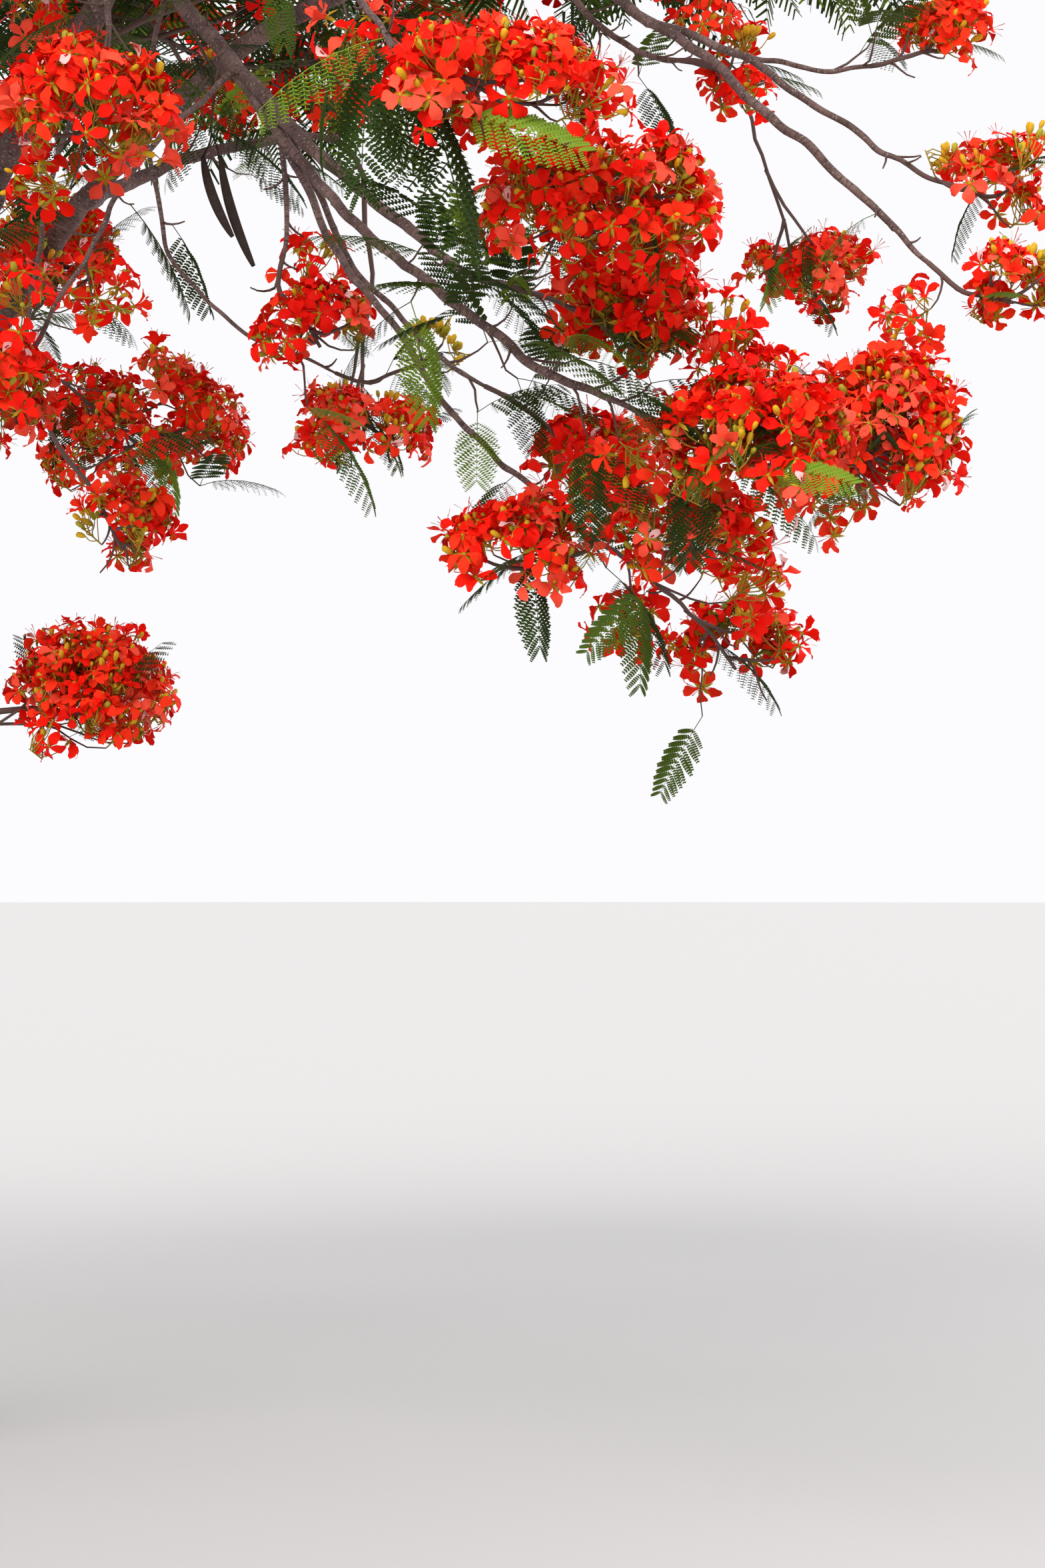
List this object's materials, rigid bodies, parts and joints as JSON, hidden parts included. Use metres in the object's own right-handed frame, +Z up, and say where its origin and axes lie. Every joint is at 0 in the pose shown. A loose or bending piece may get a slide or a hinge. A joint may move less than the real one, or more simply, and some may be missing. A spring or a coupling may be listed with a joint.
{
  "type": "flame tree",
  "caption": "Rooted flame tree in blossom: a short flared trunk, arching boughs and a wide flat umbrella of scarlet trusses and ferny leaves, with weeping boughs on one side.",
  "frame": {"origin": "centre of the flat cut under the trunk, at ground level", "axes": "+Z up; +X to the right and -Y towards the viewer in the picture, so the weeping boughs reach out over +X and -Y"},
  "size_m": [7.3981, 7.5959, 5.259],
  "materials": {
    "bark": "matte",
    "blossom": "satin",
    "foliage": "matte"
  },
  "bodies": {
    "root": {"trunk": "bark", "front_bough": "bark", "back_bough": "bark", "back_left_bough": "bark", "left_bough": "bark", "front_left_bough": "bark", "right_bough": "bark", "inner_bough": "bark", "far_bough": "bark", "weeping_bough": "bark", "near_bough": "bark", "near_left_bough": "bark", "middle_limb": "bark", "inner_limb": "bark", "long_limb": "bark", "hooked_limb": "bark", "crossing_limb": "bark", "hanging_limb": "bark", "looping_limb": "bark", "right_limb": "bark", "right_upper_limb": "bark", "right_top_limb": "bark", "top_limb": "bark", "near_crest": "blossom", "near_shoulder": "blossom", "elbow": "blossom", "heart": "blossom", "right_head": "blossom", "under_heart": "blossom", "inner_cluster": "blossom", "lower_left": "blossom", "drop": "blossom", "hooked_cluster": "blossom", "bud_spray": "foliage", "low_pair": "blossom", "near_left": "blossom", "left_edge": "blossom", "left_drop": "blossom", "inner_high": "blossom", "inner_row": "blossom", "low_arch": "blossom", "far_right": "blossom", "top_cluster": "blossom", "right_top": "blossom", "right_upper": "blossom", "right_lower": "blossom", "dome": "blossom", "upper_1": "blossom", "upper_2": "blossom", "upper_3": "blossom", "over_path_1": "blossom", "over_path_2": "blossom", "rim_1": "blossom", "rim_2": "blossom", "rim_3": "blossom", "rim_4": "blossom", "rim_5": "blossom", "rim_6": "blossom", "rim_7": "blossom"}
  },
  "joints": []
}
